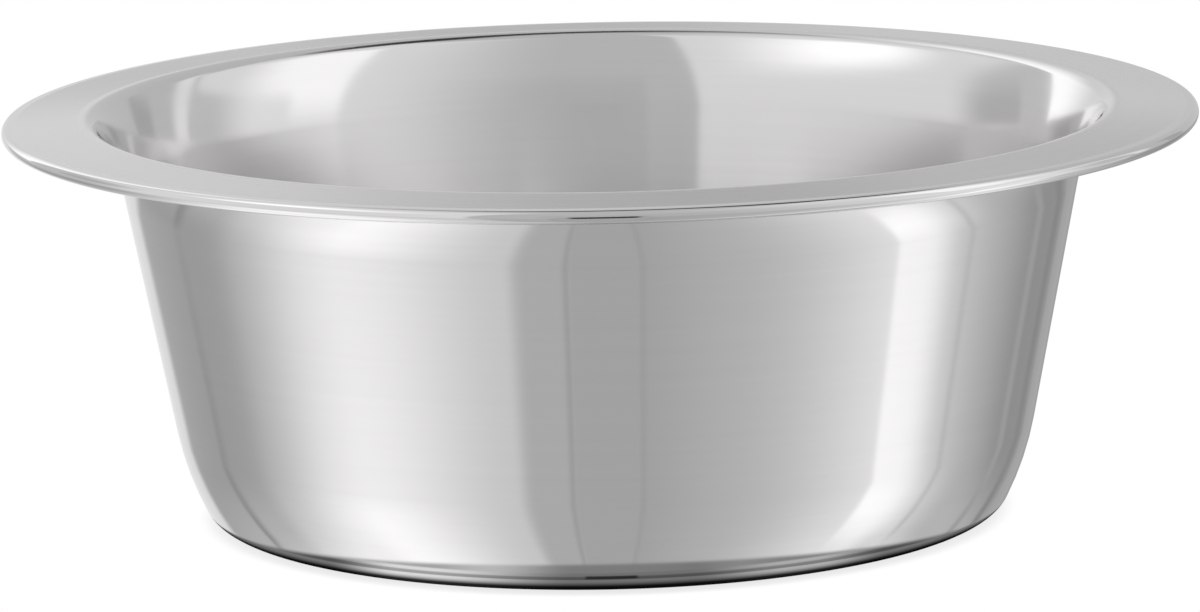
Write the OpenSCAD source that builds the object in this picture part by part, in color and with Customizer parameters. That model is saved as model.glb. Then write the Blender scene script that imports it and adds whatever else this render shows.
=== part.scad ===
// Stainless feeding bowl with a wide flange, pressed from one round sheet of steel.
// The origin is the middle of the face that the bowl stands on, with +Z up.

/* [Overall size] */
// Diameter over the rolled rim
rim_d = 280; // [210:1:340]
// Height from the standing face to the highest line round the mouth
bowl_h = 96; // [72:0.1:120]
// Thickness of the steel sheet
sheet_t = 0.6; // [0.4:0.05:0.9]

/* [Mouth and flange] */
// Width of the flange, from the outside of the rim to the line where it starts to bend into the mouth
flange_w = 18.8; // [10:0.2:30]
// Radius of the bend round the mouth, on the upper face
mouth_bend_r = 4; // [2.5:0.1:7]
// Angle by which the flange falls from the mouth to the rim
flange_fall = 2.8; // [0:0.1:5]

/* [Rolled rim] */
// Diameter over the hollow roll at the edge of the sheet
roll_d = 3.2; // [2.8:0.1:5]
// Angle that the sheet turns through in the roll
roll_turn = 285; // [180:5:290]

/* [Wall] */
// Lean of the wall from upright
wall_lean = 10.8; // [6:0.1:16]
// Radius of the easy curve from the wall to the mouth, on the outer face
neck_r = 43; // [15:1:60]
// Lean at which that curve meets the bend round the mouth
neck_lean = 34; // [18:0.5:40]
// Radius of the easy curve low on the wall, on the outer face
foot_r = 70; // [30:1:110]
// Lean at which that curve meets the tight corner
foot_lean = 26.5; // [18:0.5:40]

/* [Base] */
// Radius of the tight corner between wall and base, on the outer face
heel_r = 6.6; // [4:0.2:14]
// Width of the flat ring that the bowl stands on
ring_w = 22.5; // [6:0.5:40]
// Height of the panel's lower face above the standing face, inside that ring
panel_rise = 1.2; // [0.4:0.1:2]
// Radius of the two bends round the panel, at the middle of the sheet
panel_bend_r = 3; // [1.5:0.1:5]

/* [Hidden] */

// Facets of the turned shape
$fn = 240;
// Largest turn between two points of a bend
bend_step = 7.5;

// Unit vector at an angle of the section, counted from straight out and up
function ray(angle) = [cos(angle), sin(angle)];

// Points of a bend from one angle to the other, both ends included
function bend(centre, r, from, to) =
    let (steps = ceil(abs(to - from) / bend_step))
    [for (i = [0:steps]) centre + r * ray(from + (to - from) * i / steps)];

// The same for a bend that takes up where another one ends, without the point that they share
function bend_on(centre, r, from, to) =
    let (points = bend(centre, r, from, to))
    [for (i = [1:len(points) - 1]) points[i]];

// Outward directions of the straight stretches and of the places where two curves meet
wall_out = -wall_lean;
neck_out = -neck_lean;
foot_out = -foot_lean;
flange_up = 90 - flange_fall;

// Centre of the bend round the mouth
mouth_c = [rim_d / 2 - flange_w, bowl_h - mouth_bend_r];

// Centre of the easy curve under it, outside the wall
neck_c = mouth_c + (neck_r - mouth_bend_r + sheet_t) * ray(neck_out);

// Centre of the roll, level with the line that the flange's upper face runs along
roll_r = roll_d / 2;
roll_c_r = rim_d / 2 - roll_r;
roll_c_z = (mouth_c * ray(flange_up) + mouth_bend_r - roll_r - roll_c_r * sin(flange_fall)) / cos(flange_fall);
roll_c = [roll_c_r, roll_c_z];

// Distance of the wall's outer face from the origin, along its own outward direction
wall_reach = neck_c * ray(wall_out) - neck_r;

// Centres of the tight corner and of the easy curve, each tangent to its neighbours
foot_reach = foot_r - (foot_r - heel_r) * cos(foot_lean - wall_lean);
heel_c_r = (wall_reach - foot_reach + heel_r * sin(wall_lean)) / cos(wall_lean);
heel_c = [heel_c_r, heel_r];
foot_c = heel_c - (foot_r - heel_r) * ray(foot_out);

// The two equal and opposite bends that lift the panel
panel_turn = acos(1 - panel_rise / (2 * panel_bend_r));
panel_out_c = [heel_c_r - ring_w, sheet_t / 2 + panel_bend_r];
panel_in_c = panel_out_c - 2 * panel_bend_r * ray(90 - panel_turn);

// One face of the sheet, from the middle of the base to the edge in the roll.
// depth is 0 on the lower and outer face, and sheet_t on the upper and inner face.
function face(depth) =
    let (off = depth - sheet_t / 2)
    concat(
        [[0, panel_rise + depth]],
        bend(panel_in_c, panel_bend_r + off, 90, 90 - panel_turn),
        bend_on(panel_out_c, panel_bend_r - off, 270 - panel_turn, 270),
        bend(heel_c, heel_r - depth, -90, foot_out),
        bend_on(foot_c, foot_r - depth, foot_out, wall_out),
        bend(neck_c, neck_r + depth, 180 + wall_out, 180 + neck_out),
        bend_on(mouth_c, mouth_bend_r - sheet_t + depth, 180 + neck_out, flange_up),
        bend(roll_c, roll_r - sheet_t + depth, flange_up, flange_up - roll_turn)
    );

function backwards(points) = [for (i = [len(points) - 1:-1:0]) points[i]];

// The pressed bowl: one sheet, turned about the upright axis
module bowl() {
    color("silver")
        rotate_extrude()
            polygon(concat(face(0), backwards(face(sheet_t))));
}

bowl();
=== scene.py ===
import math
import bpy
from mathutils import Matrix, Vector


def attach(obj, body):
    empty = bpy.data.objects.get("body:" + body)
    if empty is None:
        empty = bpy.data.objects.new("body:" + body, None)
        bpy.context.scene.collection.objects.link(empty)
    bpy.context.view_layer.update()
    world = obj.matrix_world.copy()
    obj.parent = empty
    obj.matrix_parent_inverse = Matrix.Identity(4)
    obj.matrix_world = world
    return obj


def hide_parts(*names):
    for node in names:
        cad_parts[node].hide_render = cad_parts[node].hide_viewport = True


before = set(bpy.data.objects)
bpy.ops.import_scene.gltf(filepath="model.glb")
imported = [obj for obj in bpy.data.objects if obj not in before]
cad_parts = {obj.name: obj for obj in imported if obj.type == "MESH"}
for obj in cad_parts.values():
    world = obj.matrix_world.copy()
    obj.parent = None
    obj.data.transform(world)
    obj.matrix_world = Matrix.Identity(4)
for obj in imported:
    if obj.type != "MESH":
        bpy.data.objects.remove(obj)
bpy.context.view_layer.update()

# ---------------------------------------------------------------- sizes of the section
# Lengths are in metres and angles in degrees
MM = 0.001
RIM_R = 140 * MM
BOWL_H = 96 * MM
SHEET_T = 0.6 * MM
FLANGE_W = 18.8 * MM
MOUTH_BEND_R = 4 * MM
FLANGE_FALL = 2.8
ROLL_R = 1.6 * MM
ROLL_TURN = 285
WALL_LEAN = 10.8
NECK_R = 43 * MM
NECK_LEAN = 34
FOOT_R = 70 * MM
FOOT_LEAN = 26.5
HEEL_R = 6.6 * MM
RING_W = 22.5 * MM
PANEL_RISE = 1.2 * MM
PANEL_BEND_R = 3 * MM

AROUND = 360            # steps round the bowl
BEND_STEP = 5           # largest turn between two points of a bend
STRAIGHT_STEP = 6 * MM  # largest gap between two points of a straight stretch
SAME_POINT = 1e-7       # two points nearer than this are one
ON_AXIS = 1e-6          # a point nearer to the axis than this lies on it


# ---------------------------------------------------------------- the sheet's section
def ray(angle):
    a = math.radians(angle)
    return Vector((math.cos(a), math.sin(a)))


def centres():
    """Centres of the section's bends, each tangent to its neighbours, and the panel bends' turn."""
    wall_out = ray(-WALL_LEAN)
    up = ray(90 - FLANGE_FALL)
    mouth = Vector((RIM_R - FLANGE_W, BOWL_H - MOUTH_BEND_R))
    neck = mouth + (NECK_R - MOUTH_BEND_R + SHEET_T) * ray(-NECK_LEAN)
    roll_x = RIM_R - ROLL_R
    fall = math.radians(FLANGE_FALL)
    roll_up = mouth.dot(up) + MOUTH_BEND_R - ROLL_R
    roll_z = (roll_up - roll_x * math.sin(fall)) / math.cos(fall)
    reach = neck.dot(wall_out) - NECK_R
    foot_reach = FOOT_R - (FOOT_R - HEEL_R) * math.cos(math.radians(FOOT_LEAN - WALL_LEAN))
    lean = math.radians(WALL_LEAN)
    heel_x = (reach - foot_reach + HEEL_R * math.sin(lean)) / math.cos(lean)
    heel = Vector((heel_x, HEEL_R))
    foot = heel - (FOOT_R - HEEL_R) * ray(-FOOT_LEAN)
    turn = math.degrees(math.acos(1 - PANEL_RISE / (2 * PANEL_BEND_R)))
    panel_out = Vector((heel_x - RING_W, SHEET_T / 2 + PANEL_BEND_R))
    panel_in = panel_out - 2 * PANEL_BEND_R * ray(90 - turn)
    return mouth, neck, Vector((roll_x, roll_z)), heel, foot, panel_out, panel_in, turn


def bend(centre, radius, start, end, inward):
    """Points and inner-face normals of one bend.

    inward is 1 where the sheet's inner face is the outside of the bend, and -1 where it isn't.
    """
    steps = math.ceil(abs(end - start) / BEND_STEP)
    out = []
    for i in range(steps + 1):
        way = ray(start + (end - start) * i / steps)
        out.append((centre + radius * way, inward * way))
    return out


def face(depth):
    """One face of the sheet, from the middle of the base to the edge inside the roll.

    depth 0 is the outer face and SHEET_T the inner one.
    """
    mouth, neck, roll, heel, foot, panel_out, panel_in, turn = centres()
    off = depth - SHEET_T / 2
    parts = [
        [(Vector((0, PANEL_RISE + depth)), Vector((0, 1)))],
        bend(panel_in, PANEL_BEND_R + off, 90, 90 - turn, 1),
        bend(panel_out, PANEL_BEND_R - off, 270 - turn, 270, -1),
        bend(heel, HEEL_R - depth, -90, -FOOT_LEAN, -1),
        bend(foot, FOOT_R - depth, -FOOT_LEAN, -WALL_LEAN, -1),
        bend(neck, NECK_R + depth, 180 - WALL_LEAN, 180 - NECK_LEAN, 1),
        bend(mouth, MOUTH_BEND_R - SHEET_T + depth, 180 - NECK_LEAN, 90 - FLANGE_FALL, 1),
        bend(roll, ROLL_R - SHEET_T + depth, 90 - FLANGE_FALL, 90 - FLANGE_FALL - ROLL_TURN, 1),
    ]
    points = []
    for part in parts:
        for p, n in part:
            if points:
                q, m = points[-1]
                gap = (p - q).length
                if gap < SAME_POINT:
                    continue
                steps = math.ceil(gap / STRAIGHT_STEP)
                for k in range(1, steps):
                    t = k / steps
                    points.append((q.lerp(p, t), m.lerp(n, t).normalized()))
            points.append((p, n))
    return points


def turned(name, section):
    """A mesh turned about Z from a section of (point, normal), with exact normals.

    The section's two ends lie on the axis.
    """
    verts, normals, faces, rings = [], [], [], []
    for p, n in section:
        if p.x < ON_AXIS:
            rings.append([len(verts)])
            verts.append((0, 0, p.y))
            normals.append((0, 0, n.y))
            continue
        ring = []
        for i in range(AROUND):
            a = 2 * math.pi * i / AROUND
            c, s = math.cos(a), math.sin(a)
            ring.append(len(verts))
            verts.append((p.x * c, p.x * s, p.y))
            normals.append((n.x * c, n.x * s, n.y))
        rings.append(ring)
    for a, b in zip(rings, rings[1:]):
        for i in range(AROUND):
            j = (i + 1) % AROUND
            if len(a) == 1:
                faces.append((a[0], b[j], b[i]))
            elif len(b) == 1:
                faces.append((a[i], a[j], b[0]))
            else:
                faces.append((a[i], a[j], b[j], b[i]))
    mesh = bpy.data.meshes.new(name)
    mesh.from_pydata(verts, [], faces)
    mesh.polygons.foreach_set("use_smooth", [True] * len(faces))
    mesh.normals_split_custom_set_from_vertices(normals)
    mesh.update()
    piece = bpy.data.objects.new(name, mesh)
    bpy.context.collection.objects.link(piece)
    return piece


def bowl_shell():
    """The whole sheet as one closed skin: the outer face to the roll's edge, the inner one back."""
    outer = [(p, -n) for p, n in face(0)]
    inner = face(SHEET_T)
    return turned("bowl_shell", outer + inner[::-1])


# ---------------------------------------------------------------- node helpers
class Graph:
    """Short calls for a node tree's nodes and links."""

    def __init__(self, tree):
        self.tree = tree
        self.nodes = tree.nodes
        self.nodes.clear()

    def add(self, kind, inputs=None, **settings):
        node = self.nodes.new(kind)
        for key, value in settings.items():
            setattr(node, key, value)
        for key, value in (inputs or {}).items():
            self.put(node.inputs[key], value)
        return node

    def put(self, socket, value):
        if isinstance(value, bpy.types.NodeSocket):
            self.tree.links.new(value, socket)
        else:
            socket.default_value = value

    def math(self, operation, *values):
        node = self.add("ShaderNodeMath", operation=operation)
        for socket, value in zip(node.inputs, values):
            self.put(socket, value)
        return node.outputs[0]

    def plus(self, a, b):
        return self.math("ADD", a, b)

    def times(self, first, *others):
        """The product of two or more numbers."""
        for other in others:
            first = self.math("MULTIPLY", first, other)
        return first

    def step(self, value, start, end):
        """0 at start and 1 at end, with a soft change between; start may be the larger."""
        node = self.add("ShaderNodeMapRange", interpolation_type="SMOOTHSTEP")
        for key, number in (("Value", value), ("From Min", start), ("From Max", end)):
            self.put(node.inputs[key], number)
        return node.outputs[0]

    def band(self, value, start, full, last, end):
        """0 up to start, 1 from full to last, and 0 again from end."""
        return self.times(self.step(value, start, full), self.step(value, end, last))

    def mix(self, factor, a, b, label=""):
        """A mix of two colours."""
        node = self.add("ShaderNodeMix", data_type="RGBA", label=label)
        self.put(node.inputs[0], factor)
        self.put(node.inputs[6], a)
        self.put(node.inputs[7], b)
        return node.outputs[2]

    def blend(self, factor, a, b):
        """A mix of two numbers."""
        node = self.add("ShaderNodeMix", data_type="FLOAT")
        self.put(node.inputs[0], factor)
        self.put(node.inputs[2], a)
        self.put(node.inputs[3], b)
        return node.outputs[0]

    def shaders(self, factor, a, b):
        """A mix of two shaders."""
        return self.add("ShaderNodeMixShader", {0: factor, 1: a, 2: b}).outputs[0]

    def finish(self, kind, shader):
        self.put(self.add(kind).inputs[0], shader)


def grey(level):
    return (level, level, level, 1)


# ---------------------------------------------------------------- stainless steel
NEAR_AXIS = 0.004  # the least radius that a place is divided by

# Turned noise: how fast it changes round the bowl, how fast along the section per metre, detail
FINE_LINES = (2.2, 2600, 3.0)
COARSE_LINES = (0.9, 420, 2.0)
NOISE_ROUGHNESS = 0.6
FINE_SHARE, COARSE_SHARE = 0.6, 0.4
LINE_DEPTH = 0.0000002

# The pressed sheet's faint waves, and patches of a softer polish
WAVE_SCALE, WAVE_DETAIL, WAVE_DEPTH = 26.0, 1.0, 0.00004
PATCH_SCALE, PATCH_DETAIL = 60.0, 3.0

# Where a finish sets in: the height or the radius at which there is none of it, and all of it
HEEL_BELOW = (0.014, 0.009)
NECK_ABOVE = (0.0915, 0.0935)
BOTTOM_BELOW = (0.012, 0.006)
FLANGE_BEYOND = (0.1208, 0.1228)
FLANGE_ABOVE = (0.0935, 0.0945)
EDGE_BEYOND = (0.1366, 0.1374)
EDGE_ABOVE = (0.0905, 0.0915)

# The same for how far a face looks away from the axis, from -1 to 1, and how far it looks up
LOOKS_OUT = (-0.3, 0.3)
LOOKS_UP = (0.7, 0.95)

# Roughness: buffed bright outside, more of the turned polish inside, satin flange and bottom
INSIDE_ROUGH = 0.12
OUTSIDE_ROUGH = 0.08
HEEL_ROUGH = 0.06
NECK_ROUGH = 0.09
BOTTOM_ROUGH = 0.36
FLANGE_ROUGH = 0.28
EDGE_ROUGH = 0.07
ROUGH_CHANGE = 0.02
LEAST_ROUGH = 0.03

# Two close tones of the metal, and the noise values at which each is reached
DARK_STEEL = (0.680, 0.671, 0.672, 1)
LIGHT_STEEL = (0.692, 0.683, 0.684, 1)
DARK_AT, LIGHT_AT = 0.3, 0.7

# Anisotropy: reflections are drawn out along the section and stay sharp round the bowl
STRETCH = 0.96
QUARTER_TURN = 0.25


def stainless():
    material = bpy.data.materials.new("polished_stainless")
    material.use_nodes = True
    g = Graph(material.node_tree)
    texture = g.add("ShaderNodeTexCoord").outputs
    place = texture["Object"]
    x, y, z = g.add("ShaderNodeSeparateXYZ", {0: place}).outputs
    radius = g.math("SQRT", g.plus(g.times(x, x), g.times(y, y)))
    safe = g.math("MAXIMUM", radius, NEAR_AXIS)
    along = g.plus(radius, z)

    def noise(vector, scale, detail, **more):
        inputs = {"Vector": vector, "Scale": scale, "Detail": detail, **more}
        return g.add("ShaderNodeTexNoise", inputs).outputs[0]

    def turned_noise(round_bowl, per_metre, detail):
        """Noise drawn out round the bowl, as polishing on a lathe leaves it."""
        spot = g.add("ShaderNodeCombineXYZ", {
            0: g.times(g.math("DIVIDE", x, safe), round_bowl),
            1: g.times(g.math("DIVIDE", y, safe), round_bowl),
            2: g.times(along, per_metre),
        }).outputs[0]
        return noise(spot, 1.0, detail, Roughness=NOISE_ROUGHNESS)

    fine = turned_noise(*FINE_LINES)
    coarse = turned_noise(*COARSE_LINES)
    waves = noise(place, WAVE_SCALE, WAVE_DETAIL)
    patches = noise(place, PATCH_SCALE, PATCH_DETAIL)

    looks_x, looks_y, looks_z = g.add("ShaderNodeSeparateXYZ", {0: texture["Normal"]}).outputs
    outward = g.math("DIVIDE", g.plus(g.times(looks_x, x), g.times(looks_y, y)), safe)

    rough = g.blend(g.step(outward, *LOOKS_OUT), INSIDE_ROUGH, OUTSIDE_ROUGH)
    rough = g.blend(g.step(z, *HEEL_BELOW), rough, HEEL_ROUGH)
    rough = g.blend(g.step(z, *NECK_ABOVE), rough, NECK_ROUGH)
    bottom = g.times(g.step(looks_z, *LOOKS_UP), g.step(z, *BOTTOM_BELOW))
    rough = g.blend(bottom, rough, BOTTOM_ROUGH)
    flange = g.times(g.step(radius, *FLANGE_BEYOND), g.step(z, *FLANGE_ABOVE))
    rough = g.blend(flange, rough, FLANGE_ROUGH)
    edge = g.times(g.step(radius, *EDGE_BEYOND), g.step(z, *EDGE_ABOVE))
    rough = g.blend(edge, rough, EDGE_ROUGH)
    for change in (fine, patches):
        rough = g.plus(rough, g.times(g.math("SUBTRACT", change, 0.5), ROUGH_CHANGE))
    rough = g.math("MAXIMUM", rough, LEAST_ROUGH)

    tone = g.add("ShaderNodeMapRange", {"Value": coarse, "From Min": DARK_AT, "From Max": LIGHT_AT})
    colour = g.mix(tone.outputs[0], DARK_STEEL, LIGHT_STEEL)

    height = g.plus(g.times(fine, FINE_SHARE), g.times(coarse, COARSE_SHARE))
    lines = g.add("ShaderNodeBump", {"Height": height, "Strength": 1.0, "Distance": LINE_DEPTH})
    wavy = g.add("ShaderNodeBump", {
        "Height": waves, "Strength": 1.0, "Distance": WAVE_DEPTH, "Normal": lines.outputs[0],
    })
    round_it = g.add("ShaderNodeTangent", direction_type="RADIAL", axis="Z")
    shader = g.add("ShaderNodeBsdfPrincipled", {
        "Base Color": colour,
        "Roughness": rough,
        "Metallic": 1.0,
        "Anisotropic": STRETCH,
        "Anisotropic Rotation": QUARTER_TURN,
        "Tangent": round_it.outputs[0],
        "Normal": wavy.outputs[0],
    })
    g.finish("ShaderNodeOutputMaterial", shader.outputs[0])
    return material


# ---------------------------------------------------------------- studio
# Soft boxes, cards and dark gaps round the bowl, as the metal sees them. Each row is: name;
# azimuth from, to, softness of either edge; elevation from, to, softness of either edge; level.
# Azimuth 0 is the camera's side and 90 the right, in degrees; elevation is above the horizon.
# Later rows lie over earlier ones.
CARDS = [
    ("left side wall", -133.8, -25.2, 39.9, 2.5, -17.3, 76, 8.2, 21.2, 0.96),
    ("wall behind the camera", -12, 48.9, 2, 26.2, -7.7, 30.6, 7.9, 5.1, 0.60),
    ("left soft box", -96.1, -51.6, 26.4, 44.8, 35.2, 55.3, 11.5, 19.4, 1.55),
    ("grey card on the left", -136, -106.8, 2.8, 19.6, -11.2, 28, 5, 8, 0.70),
    ("darker card on the left", -124.9, -104.5, 2, 17.7, 2.7, 19.8, 4.4, 13.5, 0.58),
    ("back card on the left", -160.4, -138.4, 50, 1.5, 1.2, 52, 5.3, 23.2, 1.45),
    ("right wall", 37.8, 119.5, 59.8, 2, -10.1, 70, 7.7, 6.5, 0.96),
    ("right soft box", 69.5, 99.7, 3, 19.8, 14.3, 54.4, 24.4, 5.5, 1.35),
    ("right glow", 84.8, 113, 4.5, 4, 6.2, 25.4, 6, 7.6, 1.04),
    ("strip on the right", 103.9, 120.3, 18.1, 2, -3.6, 24.7, 3.9, 3.1, 0.70),
    ("bright edge on the right", 121.3, 127, 2, 4, -1.3, 35.5, 4, 8.3, 1.0),
    ("grey card on the right", 137.1, 146.1, 3, 2, -4.6, 16.9, 4.7, 8, 0.50),
    ("ceiling gap", 118, 200, 20, 40, 56, 75, 8, 9, 0.04),
    ("floor light on the left", -110.5, -23, 11.8, 7, -90, -13.9, 4, 7, 0.81),
    ("low soft box on the left", -90, -49.5, 41.5, 52.1, -67.7, -25.3, 7.1, 25.6, 1.43),
    ("low front wall", -22.6, -8.8, 6, 1.5, -90, -13.5, 4, 6, 0.58),
    ("low front panel", -8.8, 9.3, 1.5, 1.5, -90, 6.6, 4, 5.2, 0.53),
    ("low front right", 9.3, 24.6, 1.5, 43.9, -90, -11.5, 4, 6.1, 0.51),
    ("joint on the left of the front panel", -10.4, -8.9, 1.6, 0.8, -90, -13, 4, 6, 0.48),
    ("joint on the right of the front panel", 9.2, 10.9, 1, 1.4, -90, -13, 4, 6, 0.49),
    ("low right wall", 64.8, 94.9, 59.8, 13.8, -90, 1.6, 4, 7.1, 1.14),
    ("low soft box on the right", 80, 100, 2, 41.3, -43.8, -24.1, 15.7, 19.3, 1.46),
    ("low shade on the right", 123, 178, 32.1, 9.5, -27.6, -7, 17.3, 8.5, 0.37),
    ("low shade on the left", -152.2, -102.8, 3, 42.9, -28.9, -11.9, 19, 19.6, 0.45),
    ("seam on the left", -130.6, -127.6, 1.6, 5, -35.8, -19.8, 4.3, 5.6, 0.35),
    ("seam on the right", 104, 106, 1.5, 1.5, -45, -12, 6, 6, 0.67),
    ("light line on the right", 134.2, 137.6, 2.5, 2.5, -40, -10, 6, 6, 0.46),
    ("dark seam on the right", 146.5, 151, 3, 3, -40, -10, 6, 6, 0.32),
    ("edge light on the right", 154, 167, 3, 6, -40, -8, 6, 6, 0.45),
    ("low back card", -179, -154.5, 9.8, 4, -28.4, -0.9, 6, 5, 0.86),
    ("light under the rim, left", -155.6, -83.5, 25.6, 12.1, -73.3, -45, 21.4, 22.2, 1.33),
    ("light under the rim, right", 98.1, 157.7, 9.1, 11.4, -58.6, -42.8, 12.6, 11.3, 1.05),
    ("back wall", 180.5, 204, 8, 24, 2, 19, 8, 10, 0.79),
    ("camera and its stand", -6, 7, 2, 2, -18, 6, 2, 2, 0.05),
]

# The room between the cards, and the ground that sets in at these elevations
ROOM_LEVEL = 0.65
GROUND_LEVEL = 0.55
GROUND_BELOW = (-56.0, -66.0)


def studio():
    world = bpy.data.worlds.new("studio")
    bpy.context.scene.world = world
    world.use_nodes = True
    g = Graph(world.node_tree)
    way = g.add("ShaderNodeTexCoord").outputs["Generated"]
    x, y, z = g.add("ShaderNodeSeparateXYZ", {0: way}).outputs
    azimuth = g.math("DEGREES", g.math("ARCTAN2", x, g.times(y, -1.0)))
    elevation = g.math("DEGREES", g.math("ARCSINE", z))

    def between(value, start, end, soft_start, soft_end):
        """1 between start and end, with each edge's softness centred on it."""
        return g.band(value, start - soft_start / 2, start + soft_start / 2,
                      end - soft_end / 2, end + soft_end / 2)

    colour = g.mix(g.step(elevation, *GROUND_BELOW), grey(ROOM_LEVEL), grey(GROUND_LEVEL))
    for name, left, right, soft_left, soft_right, low, high, soft_low, soft_high, level in CARDS:
        middle, half = (left + right) / 2, (right - left) / 2
        turn = g.math("WRAP", g.math("SUBTRACT", azimuth, middle), 180.0, -180.0)
        mask = g.times(between(turn, -half, half, soft_left, soft_right),
                       between(elevation, low, high, soft_low, soft_high))
        colour = g.mix(mask, colour, grey(level), name)
    path = g.add("ShaderNodeLightPath").outputs
    shown = g.mix(path["Is Camera Ray"], colour, grey(1.0))
    background = g.add("ShaderNodeBackground", {"Color": shown, "Strength": 1.0})
    g.finish("ShaderNodeOutputWorld", background.outputs[0])


# ---------------------------------------------------------------- floor
FLOOR_HALF = 3.0
FLOOR_Z = -0.0002
FLOOR_TONE = 0.8

# The camera's floor: the shadow's edge in metres from the axis, and the share of white within it
SHADOW_EDGE = (0.0925, 0.097)
SHADOW_WHITE = 0.8

# The metal's floor, as painted rings of shade and light in millimetres from the axis: a painted
# contact shadow dark close under the bowl, then light with a painted darker line in it, and an
# outer painted light level that falls from the front to the sides
CLOSE_RISE = (92.2, 95.4)
CLOSE_LEVELS = (0.02, 1.0)
LINE_RING = (95.9, 96.3, 97.1, 97.5)
LINE_LEVEL = 0.48
OUTER_RISE = (98.1, 98.5)
OUTER_LEVELS = (1.2, 0.5)
OUTER_CHANGE = (0.0, 0.2)

# Where a place lies to the side, from -1 to 1: the painted rings' level in front, and the painted
# light either side adds
FRONT_LEVEL = 0.24
SIDE_LIGHTS = (
    (0.8, (-0.7, -0.52, -0.45, -0.08)),
    (0.38, (0.2, 0.45, 0.52, 0.7)),
)

# The painted dark streak in the middle of the front, and where the painted rings end
STREAK_RING = (96.3, 96.7, 97.3, 97.6)
STREAK_ACROSS = (-0.0062, -0.0050, 0.0063, 0.0075)
STREAK_FRONT = (0.0, -0.01)
STREAK_LEVEL = 0.03
RINGS_END = (100.4, 102.0)
SHORTER_ASIDE = 7.0
LEAST_RADIUS = 0.001


def floor():
    """A plain white floor that keeps the bowl's contact shadow, and shows the metal painted rings
    of shadow and light at the bowl's foot.
    """
    mesh = bpy.data.meshes.new("floor")
    corners = [(x * FLOOR_HALF, y * FLOOR_HALF, FLOOR_Z)
               for x, y in ((-1, -1), (1, -1), (1, 1), (-1, 1))]
    mesh.from_pydata(corners, [], [(0, 1, 2, 3)])
    piece = bpy.data.objects.new("floor", mesh)
    bpy.context.collection.objects.link(piece)
    material = bpy.data.materials.new("white_floor")
    material.use_nodes = True
    g = Graph(material.node_tree)
    place = g.add("ShaderNodeTexCoord").outputs["Object"]
    radius = g.add("ShaderNodeVectorMath", {0: place}, operation="LENGTH").outputs["Value"]
    path = g.add("ShaderNodeLightPath").outputs
    diffuse = g.add("ShaderNodeBsdfDiffuse", {"Color": grey(FLOOR_TONE)}).outputs[0]
    white = g.add("ShaderNodeEmission", {"Color": grey(1.0), "Strength": 1.0}).outputs[0]
    clear = g.add("ShaderNodeBsdfTransparent").outputs[0]

    # To the camera the floor is white, with the shadow close under the bowl
    pure = g.blend(g.step(radius, *SHADOW_EDGE), SHADOW_WHITE, 1.0)
    seen = g.shaders(pure, diffuse, white)

    # The metal sees painted shadow and light as glowing rings at its foot, and beyond them the
    # studio
    r = g.times(radius, 1000.0)
    x, y, _ = g.add("ShaderNodeSeparateXYZ", {0: place}).outputs
    aside = g.math("DIVIDE", x, g.math("MAXIMUM", radius, LEAST_RADIUS))
    aside_squared = g.times(aside, aside)

    # Painted contact shadow: dark close under the bowl and rising to light, with a painted darker
    # line and a painted light outer level
    glow = g.blend(g.step(r, *CLOSE_RISE), *CLOSE_LEVELS)
    glow = g.blend(g.band(r, *LINE_RING), glow, LINE_LEVEL)
    outer = g.blend(g.step(aside_squared, *OUTER_CHANGE), *OUTER_LEVELS)
    glow = g.blend(g.step(r, *OUTER_RISE), glow, outer)
    # Painted light from either side, added to the painted rings
    side = FRONT_LEVEL
    for level, edges in SIDE_LIGHTS:
        side = g.plus(side, g.times(level, g.band(aside, *edges)))
    glow = g.times(glow, side)
    # A painted dark streak in the middle of the front of the rings
    streak = g.times(g.band(x, *STREAK_ACROSS), g.step(y, *STREAK_FRONT), g.band(r, *STREAK_RING))
    glow = g.blend(streak, glow, STREAK_LEVEL)
    level = g.add("ShaderNodeCombineXYZ", {0: glow, 1: glow, 2: glow}).outputs[0]
    # The painted rings glow as an emission, which only glossy rays see
    shade = g.add("ShaderNodeEmission", {"Color": level}).outputs[0]
    reach = g.plus(r, g.times(SHORTER_ASIDE, aside_squared))
    mirrored = g.shaders(g.step(reach, *RINGS_END), shade, clear)

    other = g.shaders(path["Is Glossy Ray"], diffuse, mirrored)
    g.finish("ShaderNodeOutputMaterial", g.shaders(path["Is Camera Ray"], other, seen))
    mesh.materials.append(material)


# ---------------------------------------------------------------- camera
IMAGE_W = 1200
SENSOR = 36.0
FOCAL_PX = 7341.5
CLIP_NEAR, CLIP_FAR = 0.1, 20
CAMERA_AT = Vector((0.0, -1.7, 0.36655))
PAN, TILT, ROLL = -0.0005, 0.1852, -0.0198  # in radians


def camera():
    data = bpy.data.cameras.new("camera")
    data.sensor_fit = "HORIZONTAL"
    data.sensor_width = SENSOR
    data.lens = FOCAL_PX / IMAGE_W * SENSOR
    data.clip_start, data.clip_end = CLIP_NEAR, CLIP_FAR
    eye = bpy.data.objects.new("camera", data)
    bpy.context.collection.objects.link(eye)
    level = math.cos(TILT)
    ahead = Vector((math.sin(PAN) * level, math.cos(PAN) * level, -math.sin(TILT)))
    right = Vector((math.cos(PAN), -math.sin(PAN), 0.0))
    up = right.cross(ahead)
    side = math.cos(ROLL) * right + math.sin(ROLL) * up
    top = -math.sin(ROLL) * right + math.cos(ROLL) * up
    eye.matrix_world = Matrix((
        (side.x, top.x, -ahead.x, CAMERA_AT.x),
        (side.y, top.y, -ahead.y, CAMERA_AT.y),
        (side.z, top.z, -ahead.z, CAMERA_AT.z),
        (0, 0, 0, 1),
    ))
    bpy.context.scene.camera = eye


# ---------------------------------------------------------------- the scene
bpy.context.scene.view_settings.view_transform = "Standard"
shell = bowl_shell()
shell.data.materials.append(stainless())
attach(shell, "root")
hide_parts("bowl")
floor()
studio()
camera()
